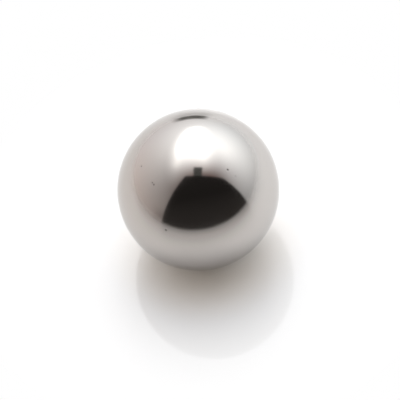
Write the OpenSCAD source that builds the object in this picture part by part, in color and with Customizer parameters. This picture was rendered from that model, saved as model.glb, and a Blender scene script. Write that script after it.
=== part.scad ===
// Polished steel ball, a loose rolling element
// Sizes are in millimetres, the origin is the centre of the ball and Z is up

/* [Ball] */
// Diameter of the ball across any direction
ball_d = 6; // [1:0.5:50]

/* [Hidden] */

// Sides of the great circle when the ball is drawn as facets
$fn = 128;

// Warm grey of bare polished steel
polished_steel = [0.58, 0.56, 0.54];

// One solid sphere, headed from wire, then hardened, ground and lapped round all over
module ball() {
    color(polished_steel) sphere(d = ball_d);
}

ball();
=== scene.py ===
"""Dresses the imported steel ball: a mirror-polished sphere with a few pits, shown in a soft light tent."""

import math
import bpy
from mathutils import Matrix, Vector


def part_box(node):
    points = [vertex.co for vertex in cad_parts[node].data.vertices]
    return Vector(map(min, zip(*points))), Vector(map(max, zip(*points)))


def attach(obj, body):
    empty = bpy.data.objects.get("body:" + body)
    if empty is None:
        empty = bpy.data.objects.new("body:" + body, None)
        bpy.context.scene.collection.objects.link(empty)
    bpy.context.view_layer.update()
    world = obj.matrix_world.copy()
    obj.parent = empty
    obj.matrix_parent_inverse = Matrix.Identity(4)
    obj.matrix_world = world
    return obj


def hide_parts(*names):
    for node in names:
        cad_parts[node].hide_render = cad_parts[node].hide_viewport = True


bl_info = {
    "name": "Steel Ball",
    "version": (1, 0, 0),
    "blender": (4, 5, 0),
    "location": "View3D > Sidebar > Steel Ball",
    "description": "Builds a polished steel ball and the light tent it is shown in",
    "category": "Object",
}

from collections import namedtuple

import bpy
from mathutils import Matrix, Vector

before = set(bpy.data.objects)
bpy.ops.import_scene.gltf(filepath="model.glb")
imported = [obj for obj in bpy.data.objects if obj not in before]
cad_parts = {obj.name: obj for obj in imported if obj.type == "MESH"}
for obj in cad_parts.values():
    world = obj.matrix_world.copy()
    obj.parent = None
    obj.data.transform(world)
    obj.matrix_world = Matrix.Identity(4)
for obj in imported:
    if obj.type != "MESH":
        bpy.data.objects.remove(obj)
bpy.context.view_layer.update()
ball_low, ball_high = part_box("ball")

BALL_DIAMETER = ball_high.z - ball_low.z
MILLIMETRE = 0.001
ORIGIN = (0.0, 0.0, 0.0)
NO_LIGHT = (0.0, 0.0, 0.0)
WHITE = (1.0, 1.0, 1.0, 1.0)

# The picture's width, and the ball's centre and radius in it, in pixels
PICTURE_WIDTH = 400
BALL_PIXEL_X = 198.3
BALL_PIXEL_Y = 189.6
BALL_PIXEL_RADIUS = 81.2

# A pit in the polish: the pixel where it shows, its width and depth in millimetres, and how dark it is
Pit = namedtuple("Pit", "pixel_x pixel_y width depth darkness")
PITS = (
    Pit(152.6, 183.0, 0.100, 0.005, 0.42),
    Pit(154.1, 184.9, 0.110, 0.005, 0.50),
    Pit(141.7, 166.5, 0.100, 0.004, 0.45),
    Pit(227.6, 170.1, 0.110, 0.005, 0.60),
    Pit(166.2, 229.8, 0.120, 0.004, 0.55),
    Pit(135.1, 182.6, 0.080, 0.003, 0.15),
    Pit(235.4, 176.5, 0.080, 0.003, 0.15),
)

# The finer faces at a pit: cuts across each face, and how far they reach from its middle, over its width
PIT_CUTS = 5
PIT_REACH = 1.1

# The grime in a pit: where it starts and is full, from the pit's middle over its width, and its roughness
GRIME_START = 0.60
GRIME_FULL = 0.10
GRIME_ROUGHNESS = 0.6

# The steel's faint haze: its noise, how it changes the tone and the roughness, and the tint at the rim
HAZE_SCALE = 900.0
HAZE_DETAIL = 4.0
HAZE_LOW = 0.3
HAZE_HIGH = 0.7
HAZE_TONE = 0.02
ROUGHNESS_LOW = 0.09
ROUGHNESS_HIGH = 0.13
RIM_TINT = 0.89

# How finely the light dome is cut into faces
DOME_FINENESS = 4

# A soft glow of the tent: its azimuth and elevation in degrees, narrowness, and light, below 0 for shade
Glow = namedtuple("Glow", "azimuth elevation narrowness light")
GLOWS = (
    Glow(130.0, 57.0, 1.8, (2.20, 2.28, 2.34)),  # wide and cool, high at the back right
    Glow(-127.0, -31.0, 1.4, (0.78, 0.65, 0.60)),  # wide and warm, low at the back left
    Glow(39.0, 68.0, 3.6, (-1.48, -1.59, -1.64)),  # wide shade, high at the front right
    Glow(-112.0, 66.0, 140.0, (0.20, 0.20, 0.19)),  # small patch, high at the left
    Glow(118.0, 40.0, 40.0, (0.13, 0.13, 0.12)),  # patch halfway up the right wall
    Glow(145.0, 12.0, 12.0, (-0.10, -0.07, -0.05)),  # soft shade, low at the back right
    Glow(-160.0, 5.0, 8.0, (-0.03, 0.0, 0.035)),  # bluish tint, low at the back left
    Glow(-60.0, 4.0, 90.0, (-0.10, -0.095, -0.09)),  # small shade, low at the front left
)

# A soft edge of the roof's window: across times X plus along times Y, over the height, from start to full
Edge = namedtuple("Edge", "across along start full")
WINDOW_EDGES = (
    Edge(1.0, -0.33, -0.90, -0.41),  # left
    Edge(1.0, -0.10, 0.75, 0.20),  # right
    Edge(0.30, 1.0, -1.00, 0.95),  # front
    Edge(0.0, 1.0, 2.80, 1.60),  # back
)

# The least height that the window's edges are worked out for, on a dome of radius 1
WINDOW_LEAST_HEIGHT = 0.001

# How fast the lamp behind the window fades from its middle, as a power of the window's own fade
LAMP_POWER = 4.0

# The corners of the tent's dark open front, from low left to low right, over its distance from the ball
FRONT_CORNERS = (
    Vector((-1.43, -1.0, 0.0)),
    Vector((-1.15, -1.0, 4.39)),
    Vector((1.83, -1.0, 2.25)),
    Vector((1.84, -1.0, 0.0)),
)

# The light of the dark front, low down and as high up as it is far from the ball
FRONT_LIGHT_LOW = 0.036
FRONT_LIGHT_HIGH = 0.017

# The dark flap of the tent's roof: half its sides and its middle, over the roof's height, and its light
FLAP_HALF = Vector((0.105, 0.13, 0.0))
FLAP_MIDDLE = Vector((0.065, -0.20, 0.0))
FLAP_LIGHT = 0.08

# The dark gap low behind the ball: its corners, and where its soft ends and top are full, in millimetres
GAP_LOW = Vector((-8.5, 45.0, -2.3))
GAP_HIGH = Vector((14.0, 45.0, 7.5))
GAP_FULL_LEFT = -1.0
GAP_FULL_RIGHT = 9.0
GAP_FULL_TOP = 4.0

# The light of the gap, which goes up and down along it with a noise
GAP_NOISE_SCALE = 300.0
GAP_NOISE_LOW = 0.3
GAP_NOISE_HIGH = 0.7
GAP_LIGHT_LOW = 0.11
GAP_LIGHT_HIGH = 0.24

# The floor's gloss
FLOOR_ROUGHNESS = 0.012
FLOOR_IOR = 1.45

# Keeps a place's X and Y and drops its height
FLAT = (1.0, 1.0, 0.0)

# Painted shade as the ball mirrors the floor: across times X plus along times Y, from start to full, in
# metres
Shade = namedtuple("Shade", "across along start full colour")
FLOOR_SHADES = (
    Shade(1.0, 0.0, 0.000, -0.012, (0.88, 0.855, 0.835)),  # to the left
    Shade(0.2, 0.98, 0.000, -0.0145, (0.71, 0.69, 0.675)),  # to the front
    Shade(0.2, 0.98, -0.015, -0.060, (0.57, 0.555, 0.54)),  # further to the front
    Shade(0.77, 0.64, -0.035, -0.085, (0.47, 0.435, 0.41)),  # far off to the front left
)

# The floor's own white glow, which paints light into the ball's shadow near it
# How the floor turns plain white further out, as the camera sees it: distances in metres, least share
SEEN_NEAR = 0.0015
SEEN_FAR = 0.0092
SEEN_LEAST = 0.045

# The same as the ball mirrors it, where the least share paints light on the near floor
MIRRORED_NEAR = 0.40
MIRRORED_FAR = 1.00
MIRRORED_LEAST = 0.07

# Painted warm light in the shadow's middle, from the floor's glow: where it ends and is full, in metres,
# and its tint
WARM_END = 0.0042
WARM_FULL = 0.0012
PAINTED_WARM_TINT = (1.0, 0.80, 0.55, 1.0)

# The camera's sensor in millimetres, and the nearest and farthest that it sees in metres
SENSOR_WIDTH = 36.0
CLIP_START = 0.01
CLIP_END = 10.0


class SteelBallSettings(bpy.types.PropertyGroup):
    """Sizes and colours of the ball"""

    diameter: bpy.props.FloatProperty(
        name="Diameter",
        description="Diameter of the ball",
        default=BALL_DIAMETER,
        unit="LENGTH",
        precision=5,
    )
    rows: bpy.props.IntProperty(
        name="Rows",
        description="Rows of faces on each side of the cube that the ball is rounded from",
        default=96,
        min=8,
    )
    steel: bpy.props.FloatVectorProperty(
        name="Steel",
        description="Colour that the polished steel reflects",
        default=(0.578, 0.552, 0.525),
        subtype="COLOR",
    )
    grime: bpy.props.FloatVectorProperty(
        name="Grime",
        description="Colour of the dirt held in the pits",
        default=(0.045, 0.040, 0.036),
        subtype="COLOR",
    )


class SteelBallStage(bpy.types.PropertyGroup):
    """Sizes, lights and colours of the light tent, and the camera's place"""

    dome_radius: bpy.props.FloatProperty(
        name="Dome radius",
        description="Radius of the dome that the tent's soft light comes from",
        default=1.0,
        unit="LENGTH",
    )
    window_light: bpy.props.FloatProperty(
        name="Window light",
        description="Light that the window in the roof adds to the walls' glow, out to its soft edges",
        default=0.5,
    )
    lamp_light: bpy.props.FloatProperty(
        name="Lamp light",
        description="Light that the lamp behind the window adds in its middle",
        default=3.0,
    )
    front_distance: bpy.props.FloatProperty(
        name="Front distance",
        description="Distance from the ball to the tent's open front",
        default=0.078,
        unit="LENGTH",
    )
    roof_height: bpy.props.FloatProperty(
        name="Roof height",
        description="Height of the dark flap over the ball",
        default=0.280,
        unit="LENGTH",
    )
    floor_width: bpy.props.FloatProperty(
        name="Floor width",
        description="Width of the floor, which reaches past the dome",
        default=4.0,
        unit="LENGTH",
    )
    floor: bpy.props.FloatVectorProperty(
        name="Floor",
        description="Colour of the floor",
        default=(0.968, 0.969, 0.969),
        subtype="COLOR",
    )
    dark: bpy.props.FloatVectorProperty(
        name="Dark",
        description="Tint of the dark beyond the open front",
        default=(1.0, 0.9, 0.85),
        subtype="COLOR",
    )
    grey: bpy.props.FloatVectorProperty(
        name="Grey",
        description="Tint of the dark flap and gap",
        default=(1.0, 0.99, 0.94),
        subtype="COLOR",
    )
    camera_elevation: bpy.props.FloatProperty(
        name="Camera elevation",
        description="Angle of the camera above the floor",
        default=math.radians(54.7),
        subtype="ANGLE",
    )
    camera_roll: bpy.props.FloatProperty(
        name="Camera roll",
        description="Turn of the camera about its own line of sight",
        default=math.radians(10.6),
        subtype="ANGLE",
    )
    camera_distance: bpy.props.FloatProperty(
        name="Camera distance",
        description="Distance from the camera to the ball",
        default=0.216,
        unit="LENGTH",
    )


def deselect():
    """Goes to object mode with nothing selected."""
    if bpy.context.mode != "OBJECT":
        bpy.ops.object.mode_set(mode="OBJECT")
    bpy.ops.object.select_all(action="DESELECT")


def toward(azimuth, elevation):
    """Unit vector for an azimuth from the front, to the right, and an elevation, in degrees."""
    side = math.radians(azimuth)
    up = math.radians(elevation)
    return Vector((math.sin(side) * math.cos(up), -math.cos(side) * math.cos(up), math.sin(up)))


def camera_turn(stage):
    """The camera's turn: tilted down at the ball, then rolled about its line of sight."""
    tilt = Matrix.Rotation(math.pi / 2 - stage.camera_elevation, 3, "X")
    roll = Matrix.Rotation(-stage.camera_roll, 3, "Z")
    return tilt @ roll


def pit_middles(scene):
    """The middle of each pit on the ball, from its pixel and how much nearer the camera it lies."""
    stage = scene.steel_ball_stage
    radius = scene.steel_ball.diameter / 2
    middles = []
    for pit in PITS:
        across = (pit.pixel_x - BALL_PIXEL_X) / BALL_PIXEL_RADIUS
        up = (BALL_PIXEL_Y - pit.pixel_y) / BALL_PIXEL_RADIUS
        near = math.sqrt(1 - across**2 - up**2)
        enlarged = 1 + near * radius / stage.camera_distance
        line = Vector((across / enlarged, up / enlarged, near)).normalized()
        middles.append(camera_turn(stage) @ line * radius)
    return middles


def new_material(name):
    """An empty node material, its tree and its output."""
    material = bpy.data.materials.new(name)
    material.use_nodes = True
    material.node_tree.nodes.clear()
    output = material.node_tree.nodes.new("ShaderNodeOutputMaterial")
    return material, material.node_tree, output


def add_node(tree, kind, sockets, **settings):
    """Adds a shader node, with a link or a constant for each socket and settings for its own options."""
    made = tree.nodes.new("ShaderNode" + kind)
    for name, value in settings.items():
        setattr(made, name, value)
    for name, value in sockets.items():
        if isinstance(value, bpy.types.NodeSocket):
            tree.links.new(value, made.inputs[name])
        else:
            made.inputs[name].default_value = value
    return made


def object_place(tree):
    """The place on the surface, in the object's own coordinates."""
    return add_node(tree, "TexCoord", {}).outputs["Object"]


def ramp(tree, value, start, full):
    """A smooth step from 0 at start to 1 at full."""
    sockets = {"Value": value, "From Min": start, "From Max": full}
    return add_node(tree, "MapRange", sockets, interpolation_type="SMOOTHSTEP").outputs["Result"]


def span(tree, value, start, full, low, high):
    """An even run from low at start to high at full, and level beyond them."""
    sockets = {"Value": value, "From Min": start, "From Max": full, "To Min": low, "To Max": high}
    return add_node(tree, "MapRange", sockets).outputs["Result"]


def math_node(tree, operation, first, second=0.0):
    """The result of a sum on one or two values."""
    return add_node(tree, "Math", {0: first, 1: second}, operation=operation).outputs[0]


def vector_node(tree, operation, first, second=ORIGIN, result="Vector"):
    """The result of a sum on one or two vectors."""
    return add_node(tree, "VectorMath", {0: first, 1: second}, operation=operation).outputs[result]


def slant_run(tree, place, slant):
    """How far a place lies along a slant: across times X plus along times Y."""
    return vector_node(tree, "DOT_PRODUCT", place, (slant.across, slant.along, 0.0), "Value")


def mix_colour(tree, factor, first, second):
    """A colour between two others."""
    sockets = {"Factor": factor, "A": first, "B": second}
    return add_node(tree, "Mix", sockets, data_type="RGBA").outputs["Result"]


def opaque(colour):
    """A colour with full alpha."""
    return [*colour, 1.0]


def pit_grime(tree, place, middles):
    """How much grime lies at a place: that of the pit it is in, strongest in the pit's middle."""
    grime = 0.0
    for pit, middle in zip(PITS, middles):
        width = pit.width * MILLIMETRE
        apart = vector_node(tree, "DISTANCE", place, middle, "Value")
        fill = ramp(tree, apart, GRIME_START * width, GRIME_FULL * width)
        grime = math_node(tree, "MAXIMUM", math_node(tree, "MULTIPLY", fill, pit.darkness), grime)
    return grime


def steel_material(settings, middles):
    """Mirror-polished steel with a faint haze, and grime in the pits."""
    material, tree, output = new_material("polished_steel")
    place = object_place(tree)
    haze_sockets = {"Vector": place, "Scale": HAZE_SCALE, "Detail": HAZE_DETAIL}
    haze = add_node(tree, "TexNoise", haze_sockets).outputs["Fac"]
    dull_steel = opaque(channel * (1 - HAZE_TONE) for channel in settings.steel)
    bright_steel = opaque(channel * (1 + HAZE_TONE) for channel in settings.steel)
    tone = mix_colour(tree, haze, dull_steel, bright_steel)
    gloss = span(tree, haze, HAZE_LOW, HAZE_HIGH, ROUGHNESS_LOW, ROUGHNESS_HIGH)

    grime = pit_grime(tree, place, middles)
    colour = mix_colour(tree, grime, tone, opaque(settings.grime))
    dullness_sockets = {"Factor": grime, "A": gloss, "B": GRIME_ROUGHNESS}
    dullness = add_node(tree, "Mix", dullness_sockets).outputs["Result"]
    shader_sockets = {
        "Base Color": colour,
        "Metallic": 1.0,
        "Roughness": dullness,
        "Specular Tint": opaque([RIM_TINT] * 3),
    }
    shader = add_node(tree, "BsdfPrincipled", shader_sockets)
    tree.links.new(shader.outputs[0], output.inputs["Surface"])
    return material


def cut_cube(settings, middles):
    """A cube of the ball's size, cut into rows of faces, with finer ones where the pits will lie."""
    deselect()
    bpy.ops.mesh.primitive_cube_add(size=settings.diameter, location=ORIGIN)
    cube = bpy.context.active_object
    bpy.ops.object.mode_set(mode="EDIT")
    bpy.ops.mesh.select_all(action="SELECT")
    bpy.ops.mesh.subdivide(number_cuts=settings.rows - 1)
    bpy.ops.mesh.select_mode(type="FACE")
    bpy.ops.mesh.select_all(action="DESELECT")
    bpy.ops.object.mode_set(mode="OBJECT")
    for face in cube.data.polygons:
        on_ball = Vector(face.center).normalized() * settings.diameter / 2
        for pit, middle in zip(PITS, middles):
            if (on_ball - middle).length < PIT_REACH * pit.width * MILLIMETRE:
                face.select = True
    bpy.ops.object.mode_set(mode="EDIT")
    bpy.ops.mesh.subdivide(number_cuts=PIT_CUTS)
    bpy.ops.object.mode_set(mode="OBJECT")
    return cube


def round_off(cube, radius):
    """Rounds the cut cube to a true sphere."""
    rounding = cube.modifiers.new("rounding", "CAST")
    rounding.cast_type = "SPHERE"
    rounding.factor = 1.0
    rounding.use_radius_as_size = False
    rounding.size = radius
    bpy.ops.object.modifier_apply(modifier=rounding.name)


def press_pits(ball, middles):
    """Presses each pit into the ball, deepest in its middle."""
    bpy.ops.object.mode_set(mode="EDIT")
    bpy.ops.mesh.select_mode(type="VERT")
    for pit, middle in zip(PITS, middles):
        bpy.ops.mesh.select_all(action="DESELECT")
        bpy.ops.object.mode_set(mode="OBJECT")
        nearest = min(ball.data.vertices, key=lambda vertex: (vertex.co - middle).length_squared)
        nearest.select = True
        bpy.ops.object.mode_set(mode="EDIT")
        bpy.ops.transform.translate(
            value=middle.normalized() * -pit.depth * MILLIMETRE,
            use_proportional_edit=True,
            proportional_edit_falloff="SMOOTH",
            proportional_size=pit.width / 2 * MILLIMETRE,
        )
    bpy.ops.object.mode_set(mode="OBJECT")


class STEELBALL_OT_make_ball(bpy.types.Operator):
    """Builds the polished ball in place of the CAD node"""

    bl_idname = "steelball.make_ball"
    bl_label = "Make Ball"

    def execute(self, context):
        settings = context.scene.steel_ball
        middles = pit_middles(context.scene)
        ball = cut_cube(settings, middles)
        ball.name = "polished_ball"
        ball.data.name = "polished_ball"
        round_off(ball, settings.diameter / 2)
        press_pits(ball, middles)
        bpy.ops.object.shade_smooth()
        ball.data.materials.append(steel_material(settings, middles))
        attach(ball, "root")
        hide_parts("ball")
        return {"FINISHED"}


def finish_stage_piece(piece, name, material):
    """Names a piece of the stage and gives it its material."""
    piece.name = name
    piece.data.name = name
    piece.data.materials.append(material)


def floor_material(stage):
    """Glossy white floor that keeps the ball's shadow, lifted by its own glow as painted light, warm in the
    middle, and plain white further out; in the ball's mirror its colour has painted shade to the left and
    front.
    """
    material, tree, output = new_material("white_floor")
    place = vector_node(tree, "MULTIPLY", object_place(tree), FLAT)
    reach = vector_node(tree, "LENGTH", place, result="Value")
    path = add_node(tree, "LightPath", {}).outputs
    mirrored = math_node(tree, "MAXIMUM", path["Is Glossy Ray"], path["Is Transmission Ray"])

    colour = opaque(stage.floor)
    # Painted shade: the floor's colour darkens to the left and front, only where the ball mirrors it
    for shade in FLOOR_SHADES:
        depth = ramp(tree, slant_run(tree, place, shade), shade.start, shade.full)
        painted_shade = math_node(tree, "MULTIPLY", mirrored, depth)
        colour = mix_colour(tree, painted_shade, colour, opaque(shade.colour))
    near_sockets = {"Base Color": colour, "Roughness": FLOOR_ROUGHNESS, "IOR": FLOOR_IOR}
    near = add_node(tree, "BsdfPrincipled", near_sockets)

    # The floor's own white glow: painted light in the shadow near the ball, plain white further out
    far = span(tree, reach, MIRRORED_NEAR, MIRRORED_FAR, MIRRORED_LEAST, 1.0)
    seen = span(tree, reach, SEEN_NEAR, SEEN_FAR, SEEN_LEAST, 1.0)
    mirrored_share = math_node(tree, "MULTIPLY", mirrored, far)
    seen_share = math_node(tree, "MULTIPLY", path["Is Camera Ray"], seen)
    share = math_node(tree, "MAXIMUM", mirrored_share, seen_share)
    # Painted warm light: the glow is tinted warm in the middle of the shadow
    painted_warmth = ramp(tree, reach, WARM_END, WARM_FULL)
    white = add_node(tree, "Emission", {"Color": mix_colour(tree, painted_warmth, WHITE, PAINTED_WARM_TINT)})
    mix = add_node(tree, "MixShader", {"Fac": share, 1: near.outputs[0], 2: white.outputs[0]})
    tree.links.new(mix.outputs[0], output.inputs["Surface"])
    return material


def wall_glow(tree, line):
    """The glow of the tent's walls along a line of sight: all the soft glows added, and never below 0."""
    light = NO_LIGHT
    for spot in GLOWS:
        middle = toward(spot.azimuth, spot.elevation)
        nearness = vector_node(tree, "DOT_PRODUCT", line, middle, "Value")
        apart = math_node(tree, "SUBTRACT", nearness, 1.0)
        fade = math_node(tree, "EXPONENT", math_node(tree, "MULTIPLY", apart, spot.narrowness))
        scale_sockets = {0: spot.light, "Scale": fade}
        glow = add_node(tree, "VectorMath", scale_sockets, operation="SCALE").outputs["Vector"]
        light = vector_node(tree, "ADD", glow, light)
    return vector_node(tree, "MAXIMUM", light, NO_LIGHT)


def window_glow(tree, line, stage):
    """The white light of the roof's window along a line of sight, brightest in the middle."""
    up = add_node(tree, "SeparateXYZ", {"Vector": line}).outputs["Z"]
    height = math_node(tree, "MAXIMUM", up, WINDOW_LEAST_HEIGHT)
    window = 1.0
    for edge in WINDOW_EDGES:
        on_roof = math_node(tree, "DIVIDE", slant_run(tree, line, edge), height)
        window = math_node(tree, "MULTIPLY", ramp(tree, on_roof, edge.start, edge.full), window)
    soft = math_node(tree, "MULTIPLY", window, stage.window_light)
    lamp = math_node(tree, "MULTIPLY", math_node(tree, "POWER", window, LAMP_POWER), stage.lamp_light)
    both = math_node(tree, "ADD", soft, lamp)
    return add_node(tree, "CombineXYZ", {"X": both, "Y": both, "Z": both}).outputs["Vector"]


def dome_material(stage):
    """Soft light all round: the walls glow, and the roof has a bright window with soft edges."""
    material, tree, output = new_material("light_dome")
    line = vector_node(tree, "NORMALIZE", object_place(tree))
    light = vector_node(tree, "ADD", wall_glow(tree, line), window_glow(tree, line, stage))
    emission = add_node(tree, "Emission", {"Color": light})
    tree.links.new(emission.outputs[0], output.inputs["Surface"])
    return material


def front_material(stage):
    """The dark beyond the tent's open front, a little lighter low down."""
    material, tree, output = new_material("dark_front")
    height = add_node(tree, "SeparateXYZ", {"Vector": object_place(tree)}).outputs["Z"]
    fade = span(tree, height, 0.0, stage.front_distance, FRONT_LIGHT_LOW, FRONT_LIGHT_HIGH)
    glow = add_node(tree, "Emission", {"Color": opaque(stage.dark), "Strength": fade})
    tree.links.new(glow.outputs[0], output.inputs["Surface"])
    return material


def flap_material(stage):
    """The dark flap of the tent's roof."""
    material, tree, output = new_material("dark_flap")
    glow = add_node(tree, "Emission", {"Color": opaque(stage.grey), "Strength": FLAP_LIGHT})
    tree.links.new(glow.outputs[0], output.inputs["Surface"])
    return material


def gap_material(stage):
    """The dark gap low behind the ball, with soft ends and a soft top."""
    material, tree, output = new_material("dark_gap")
    place = object_place(tree)
    along = add_node(tree, "SeparateXYZ", {"Vector": place}).outputs
    left = ramp(tree, along["X"], GAP_LOW.x * MILLIMETRE, GAP_FULL_LEFT * MILLIMETRE)
    right = ramp(tree, along["X"], GAP_HIGH.x * MILLIMETRE, GAP_FULL_RIGHT * MILLIMETRE)
    top = ramp(tree, along["Z"], GAP_HIGH.z * MILLIMETRE, GAP_FULL_TOP * MILLIMETRE)
    mask = math_node(tree, "MULTIPLY", math_node(tree, "MULTIPLY", left, right), top)
    noise = add_node(tree, "TexNoise", {"Vector": place, "Scale": GAP_NOISE_SCALE}).outputs["Fac"]
    light = span(tree, noise, GAP_NOISE_LOW, GAP_NOISE_HIGH, GAP_LIGHT_LOW, GAP_LIGHT_HIGH)
    glow = add_node(tree, "Emission", {"Color": opaque(stage.grey), "Strength": light})
    clear = add_node(tree, "BsdfTransparent", {})
    mix = add_node(tree, "MixShader", {"Fac": mask, 1: clear.outputs[0], 2: glow.outputs[0]})
    tree.links.new(mix.outputs[0], output.inputs["Surface"])
    return material


def card(name, low, high, material):
    """A flat card of the tent between two corners, which the camera doesn't see."""
    size = high - low
    flat_axis = min(range(3), key=lambda axis: size[axis])
    turns = ((0, math.pi / 2, 0), (math.pi / 2, 0, 0), (0, 0, 0))
    deselect()
    bpy.ops.mesh.primitive_plane_add(size=1, location=(low + high) / 2, rotation=turns[flat_axis])
    made = bpy.context.active_object
    bpy.ops.object.transform_apply(location=False, rotation=True, scale=False)
    made.scale = [side if side > 0 else 1 for side in size]
    bpy.ops.object.transform_apply(location=True, rotation=True, scale=True)
    made.visible_camera = False
    finish_stage_piece(made, name, material)
    return made


def cut_card(made, point, beyond):
    """Cuts away what lies beyond a line across a card."""
    deselect()
    made.select_set(True)
    bpy.context.view_layer.objects.active = made
    bpy.ops.object.mode_set(mode="EDIT")
    bpy.ops.mesh.select_all(action="SELECT")
    bpy.ops.mesh.bisect(plane_co=point, plane_no=beyond, clear_outer=True)
    bpy.ops.object.mode_set(mode="OBJECT")


def show_in_mirrors_only(made):
    """Lets a card show in mirrors without shading the floor."""
    made.visible_diffuse = False
    made.visible_shadow = False


def add_floor(stage, floor_z):
    """The floor that the ball touches."""
    deselect()
    bpy.ops.mesh.primitive_plane_add(size=stage.floor_width, location=(0, 0, floor_z))
    bpy.ops.object.transform_apply(location=True, rotation=True, scale=True)
    finish_stage_piece(bpy.context.active_object, "floor", floor_material(stage))


def add_dome(stage):
    """The dome that lights the ball, which the camera doesn't see."""
    deselect()
    bpy.ops.mesh.primitive_ico_sphere_add(
        subdivisions=DOME_FINENESS,
        radius=stage.dome_radius,
        location=ORIGIN,
    )
    dome = bpy.context.active_object
    dome.visible_camera = False
    finish_stage_piece(dome, "light_dome", dome_material(stage))


def add_front(stage, floor_z):
    """The tent's dark open front: an upright card, cut along its slanted sides and top."""
    corners = [corner * stage.front_distance for corner in FRONT_CORNERS]
    left = min(corner.x for corner in corners)
    right = max(corner.x for corner in corners)
    top = max(corner.z for corner in corners)
    low = Vector((left, -stage.front_distance, floor_z))
    high = Vector((right, -stage.front_distance, top))
    front = card("dark_front", low, high, front_material(stage))
    for start, end in zip(corners, corners[1:]):
        side = end - start
        cut_card(front, start, (-side.z, 0, side.x))


def add_flap(stage):
    """The dark flap of the tent's roof, turned as the camera is rolled."""
    roof = Vector((0, 0, stage.roof_height))
    half = FLAP_HALF * stage.roof_height
    flap = card("dark_flap", roof - half, roof + half, flap_material(stage))
    flap.rotation_euler.z = -stage.camera_roll
    flap.location = FLAP_MIDDLE * stage.roof_height
    bpy.ops.object.transform_apply(location=True, rotation=True, scale=True)
    show_in_mirrors_only(flap)


def add_gap(stage):
    """The dark gap low behind the ball."""
    gap = card("dark_gap", GAP_LOW * MILLIMETRE, GAP_HIGH * MILLIMETRE, gap_material(stage))
    show_in_mirrors_only(gap)


def add_world(scene):
    """A white world for the camera to see past the floor."""
    world = bpy.data.worlds.new("white_world")
    world.use_nodes = True
    world.node_tree.nodes["Background"].inputs["Color"].default_value = WHITE
    scene.world = world


def add_camera(scene):
    """The camera, turned and placed so that the ball fills the same pixels as in the picture."""
    stage = scene.steel_ball_stage
    radius = scene.steel_ball.diameter / 2
    pixel = radius / BALL_PIXEL_RADIUS
    across = (PICTURE_WIDTH / 2 - BALL_PIXEL_X) * pixel
    down = (BALL_PIXEL_Y - PICTURE_WIDTH / 2) * pixel
    half_view = PICTURE_WIDTH / 2 * pixel / math.sqrt(stage.camera_distance**2 - radius**2)

    camera_data = bpy.data.cameras.new("camera")
    camera_data.sensor_width = SENSOR_WIDTH
    camera_data.lens = SENSOR_WIDTH / 2 / half_view
    camera_data.clip_start = CLIP_START
    camera_data.clip_end = CLIP_END
    camera = bpy.data.objects.new("camera", camera_data)
    turn = camera_turn(stage).to_4x4()
    place = turn @ Vector((across, down, stage.camera_distance))
    camera.matrix_world = Matrix.Translation(place) @ turn
    scene.collection.objects.link(camera)
    scene.camera = camera


class STEELBALL_OT_set_stage(bpy.types.Operator):
    """Sets the floor, the light tent, the world and the camera round the ball"""

    bl_idname = "steelball.set_stage"
    bl_label = "Set Stage"

    def execute(self, context):
        scene = context.scene
        stage = scene.steel_ball_stage
        floor_z = -scene.steel_ball.diameter / 2
        add_floor(stage, floor_z)
        add_dome(stage)
        add_front(stage, floor_z)
        add_flap(stage)
        add_gap(stage)
        add_world(scene)
        add_camera(scene)
        scene.view_settings.view_transform = "Standard"
        return {"FINISHED"}


class STEELBALL_PT_sidebar(bpy.types.Panel):
    """Lists the ball's settings and the steps that build it"""

    bl_idname = "STEELBALL_PT_sidebar"
    bl_label = "Steel Ball"
    bl_space_type = "VIEW_3D"
    bl_region_type = "UI"
    bl_category = "Steel Ball"

    def draw(self, context):
        layout = self.layout
        for settings in (context.scene.steel_ball, context.scene.steel_ball_stage):
            for name in settings.__annotations__:
                layout.prop(settings, name)
        layout.operator(STEELBALL_OT_make_ball.bl_idname)
        layout.operator(STEELBALL_OT_set_stage.bl_idname)


CLASSES = (
    SteelBallSettings,
    SteelBallStage,
    STEELBALL_OT_make_ball,
    STEELBALL_OT_set_stage,
    STEELBALL_PT_sidebar,
)


def register():
    """Registers the classes and hangs the settings on the scene."""
    for cls in CLASSES:
        bpy.utils.register_class(cls)
    bpy.types.Scene.steel_ball = bpy.props.PointerProperty(type=SteelBallSettings)
    bpy.types.Scene.steel_ball_stage = bpy.props.PointerProperty(type=SteelBallStage)


def unregister():
    """Takes the settings off the scene and unregisters the classes."""
    del bpy.types.Scene.steel_ball_stage
    del bpy.types.Scene.steel_ball
    for cls in reversed(CLASSES):
        bpy.utils.unregister_class(cls)


def main():
    """Builds the ball and its stage."""
    register()
    bpy.ops.steelball.make_ball()
    bpy.ops.steelball.set_stage()


if __name__ == "__main__":
    main()
